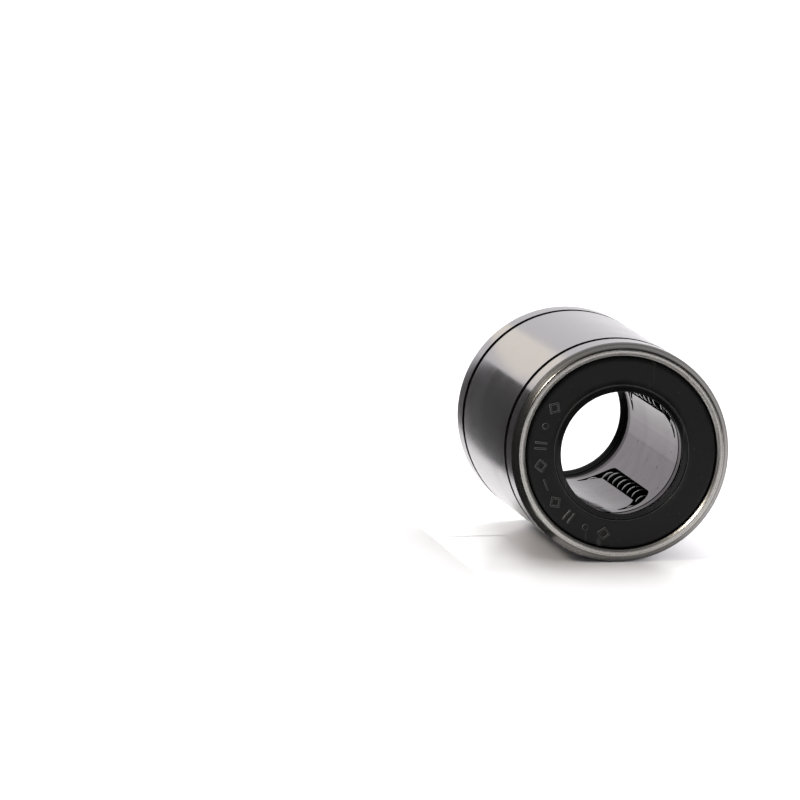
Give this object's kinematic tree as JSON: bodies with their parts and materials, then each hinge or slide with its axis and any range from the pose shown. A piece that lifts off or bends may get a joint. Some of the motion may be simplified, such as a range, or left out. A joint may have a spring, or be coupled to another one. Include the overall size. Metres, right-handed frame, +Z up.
{
  "type": "linear ball bushing",
  "caption": "Sealed linear ball bushing: ground steel sleeve with retaining ring grooves, pressed cage and recirculating balls, running along a round shaft.",
  "frame": {"origin": "middle of the bore, halfway between the end faces", "axes": "+Y along the bore from the front end to the rear end, +Z up"},
  "size_m": [0.0222, 0.0318, 0.0222],
  "materials": {
    "ground_steel": "ground and polished",
    "cage_steel": "bright pressed sheet",
    "ball_steel": "lapped, mirror bright",
    "plain_steel": "as turned and pressed",
    "seal_rubber": "satin moulded nitrile"
  },
  "bodies": {
    "housing": {"outer_cylinder": "ground_steel", "ball_cage": "cage_steel", "front_end_ring": "plain_steel", "front_seal_core": "plain_steel", "front_seal_rubber": "seal_rubber", "rear_end_ring": "plain_steel", "rear_seal_core": "plain_steel", "rear_seal_rubber": "seal_rubber"},
    "circuit1_loaded_row": {"circuit1_loaded_ball1": "ball_steel", "circuit1_loaded_ball2": "ball_steel", "circuit1_loaded_ball3": "ball_steel", "circuit1_loaded_ball4": "ball_steel", "circuit1_loaded_ball5": "ball_steel", "circuit1_loaded_ball6": "ball_steel"},
    "circuit1_return_row": {"circuit1_return_balls": "ball_steel"},
    "circuit1_front_turn": {"circuit1_front_turn_balls": "ball_steel"},
    "circuit1_rear_turn": {"circuit1_rear_turn_balls": "ball_steel"},
    "circuit2_loaded_row": {"circuit2_loaded_ball1": "ball_steel", "circuit2_loaded_ball2": "ball_steel", "circuit2_loaded_ball3": "ball_steel", "circuit2_loaded_ball4": "ball_steel", "circuit2_loaded_ball5": "ball_steel", "circuit2_loaded_ball6": "ball_steel"},
    "circuit2_return_row": {"circuit2_return_balls": "ball_steel"},
    "circuit2_front_turn": {"circuit2_front_turn_balls": "ball_steel"},
    "circuit2_rear_turn": {"circuit2_rear_turn_balls": "ball_steel"},
    "circuit3_loaded_row": {"circuit3_loaded_ball1": "ball_steel", "circuit3_loaded_ball2": "ball_steel", "circuit3_loaded_ball3": "ball_steel", "circuit3_loaded_ball4": "ball_steel", "circuit3_loaded_ball5": "ball_steel", "circuit3_loaded_ball6": "ball_steel"},
    "circuit3_return_row": {"circuit3_return_balls": "ball_steel"},
    "circuit3_front_turn": {"circuit3_front_turn_balls": "ball_steel"},
    "circuit3_rear_turn": {"circuit3_rear_turn_balls": "ball_steel"},
    "circuit4_loaded_row": {"circuit4_loaded_ball1": "ball_steel", "circuit4_loaded_ball2": "ball_steel", "circuit4_loaded_ball3": "ball_steel", "circuit4_loaded_ball4": "ball_steel", "circuit4_loaded_ball5": "ball_steel", "circuit4_loaded_ball6": "ball_steel"},
    "circuit4_return_row": {"circuit4_return_balls": "ball_steel"},
    "circuit4_front_turn": {"circuit4_front_turn_balls": "ball_steel"},
    "circuit4_rear_turn": {"circuit4_rear_turn_balls": "ball_steel"}
  },
  "joints": [
    {"name": "circuit1_loaded_roll", "type": "slide", "parent": "housing", "child": "circuit1_loaded_row", "axis": [0, 1, 0], "range_m": [-0.00123, 0.00123]},
    {"name": "circuit1_return_roll", "type": "slide", "parent": "housing", "child": "circuit1_return_row", "axis": [0, 1, 0], "range_m": [-0.00126, 0.00126]},
    {"name": "circuit1_front_turn_roll", "type": "hinge", "parent": "housing", "child": "circuit1_front_turn", "pos_m": [0.00711, -0.0075, 0.00112], "axis": [0.95, 0.1908, 0.247], "range_deg": [-23.47, 23.47]},
    {"name": "circuit1_rear_turn_roll", "type": "hinge", "parent": "housing", "child": "circuit1_rear_turn", "pos_m": [0.00711, 0.0075, 0.00112], "axis": [-0.95, 0.1908, -0.247], "range_deg": [-23.47, 23.47]},
    {"name": "circuit2_loaded_roll", "type": "slide", "parent": "housing", "child": "circuit2_loaded_row", "axis": [0, 1, 0], "range_m": [-0.00123, 0.00123]},
    {"name": "circuit2_return_roll", "type": "slide", "parent": "housing", "child": "circuit2_return_row", "axis": [0, 1, 0], "range_m": [-0.00126, 0.00126]},
    {"name": "circuit2_front_turn_roll", "type": "hinge", "parent": "housing", "child": "circuit2_front_turn", "pos_m": [0.00112, -0.0075, -0.00711], "axis": [0.247, 0.1908, -0.95], "range_deg": [-23.47, 23.47]},
    {"name": "circuit2_rear_turn_roll", "type": "hinge", "parent": "housing", "child": "circuit2_rear_turn", "pos_m": [0.00112, 0.0075, -0.00711], "axis": [-0.247, 0.1908, 0.95], "range_deg": [-23.47, 23.47]},
    {"name": "circuit3_loaded_roll", "type": "slide", "parent": "housing", "child": "circuit3_loaded_row", "axis": [0, 1, 0], "range_m": [-0.00123, 0.00123]},
    {"name": "circuit3_return_roll", "type": "slide", "parent": "housing", "child": "circuit3_return_row", "axis": [0, 1, 0], "range_m": [-0.00126, 0.00126]},
    {"name": "circuit3_front_turn_roll", "type": "hinge", "parent": "housing", "child": "circuit3_front_turn", "pos_m": [-0.00711, -0.0075, -0.00112], "axis": [-0.95, 0.1908, -0.247], "range_deg": [-23.47, 23.47]},
    {"name": "circuit3_rear_turn_roll", "type": "hinge", "parent": "housing", "child": "circuit3_rear_turn", "pos_m": [-0.00711, 0.0075, -0.00112], "axis": [0.95, 0.1908, 0.247], "range_deg": [-23.47, 23.47]},
    {"name": "circuit4_loaded_roll", "type": "slide", "parent": "housing", "child": "circuit4_loaded_row", "axis": [0, 1, 0], "range_m": [-0.00123, 0.00123]},
    {"name": "circuit4_return_roll", "type": "slide", "parent": "housing", "child": "circuit4_return_row", "axis": [0, 1, 0], "range_m": [-0.00126, 0.00126]},
    {"name": "circuit4_front_turn_roll", "type": "hinge", "parent": "housing", "child": "circuit4_front_turn", "pos_m": [-0.00112, -0.0075, 0.00711], "axis": [-0.247, 0.1908, 0.95], "range_deg": [-23.47, 23.47]},
    {"name": "circuit4_rear_turn_roll", "type": "hinge", "parent": "housing", "child": "circuit4_rear_turn", "pos_m": [-0.00112, 0.0075, 0.00711], "axis": [0.247, 0.1908, -0.95], "range_deg": [-23.47, 23.47]}
  ],
  "couplings": [
    {"joint": "circuit1_return_roll", "follows": "circuit1_loaded_roll", "ratio": -1},
    {"joint": "circuit1_front_turn_roll", "follows": "circuit1_loaded_roll", "rad_per_m": -326.03},
    {"joint": "circuit1_rear_turn_roll", "follows": "circuit1_loaded_roll", "rad_per_m": 326.03},
    {"joint": "circuit2_return_roll", "follows": "circuit2_loaded_roll", "ratio": -1},
    {"joint": "circuit2_front_turn_roll", "follows": "circuit2_loaded_roll", "rad_per_m": -326.03},
    {"joint": "circuit2_rear_turn_roll", "follows": "circuit2_loaded_roll", "rad_per_m": 326.03},
    {"joint": "circuit3_return_roll", "follows": "circuit3_loaded_roll", "ratio": -1},
    {"joint": "circuit3_front_turn_roll", "follows": "circuit3_loaded_roll", "rad_per_m": -326.03},
    {"joint": "circuit3_rear_turn_roll", "follows": "circuit3_loaded_roll", "rad_per_m": 326.03},
    {"joint": "circuit4_return_roll", "follows": "circuit4_loaded_roll", "ratio": -1},
    {"joint": "circuit4_front_turn_roll", "follows": "circuit4_loaded_roll", "rad_per_m": -326.03},
    {"joint": "circuit4_rear_turn_roll", "follows": "circuit4_loaded_roll", "rad_per_m": 326.03}
  ]
}
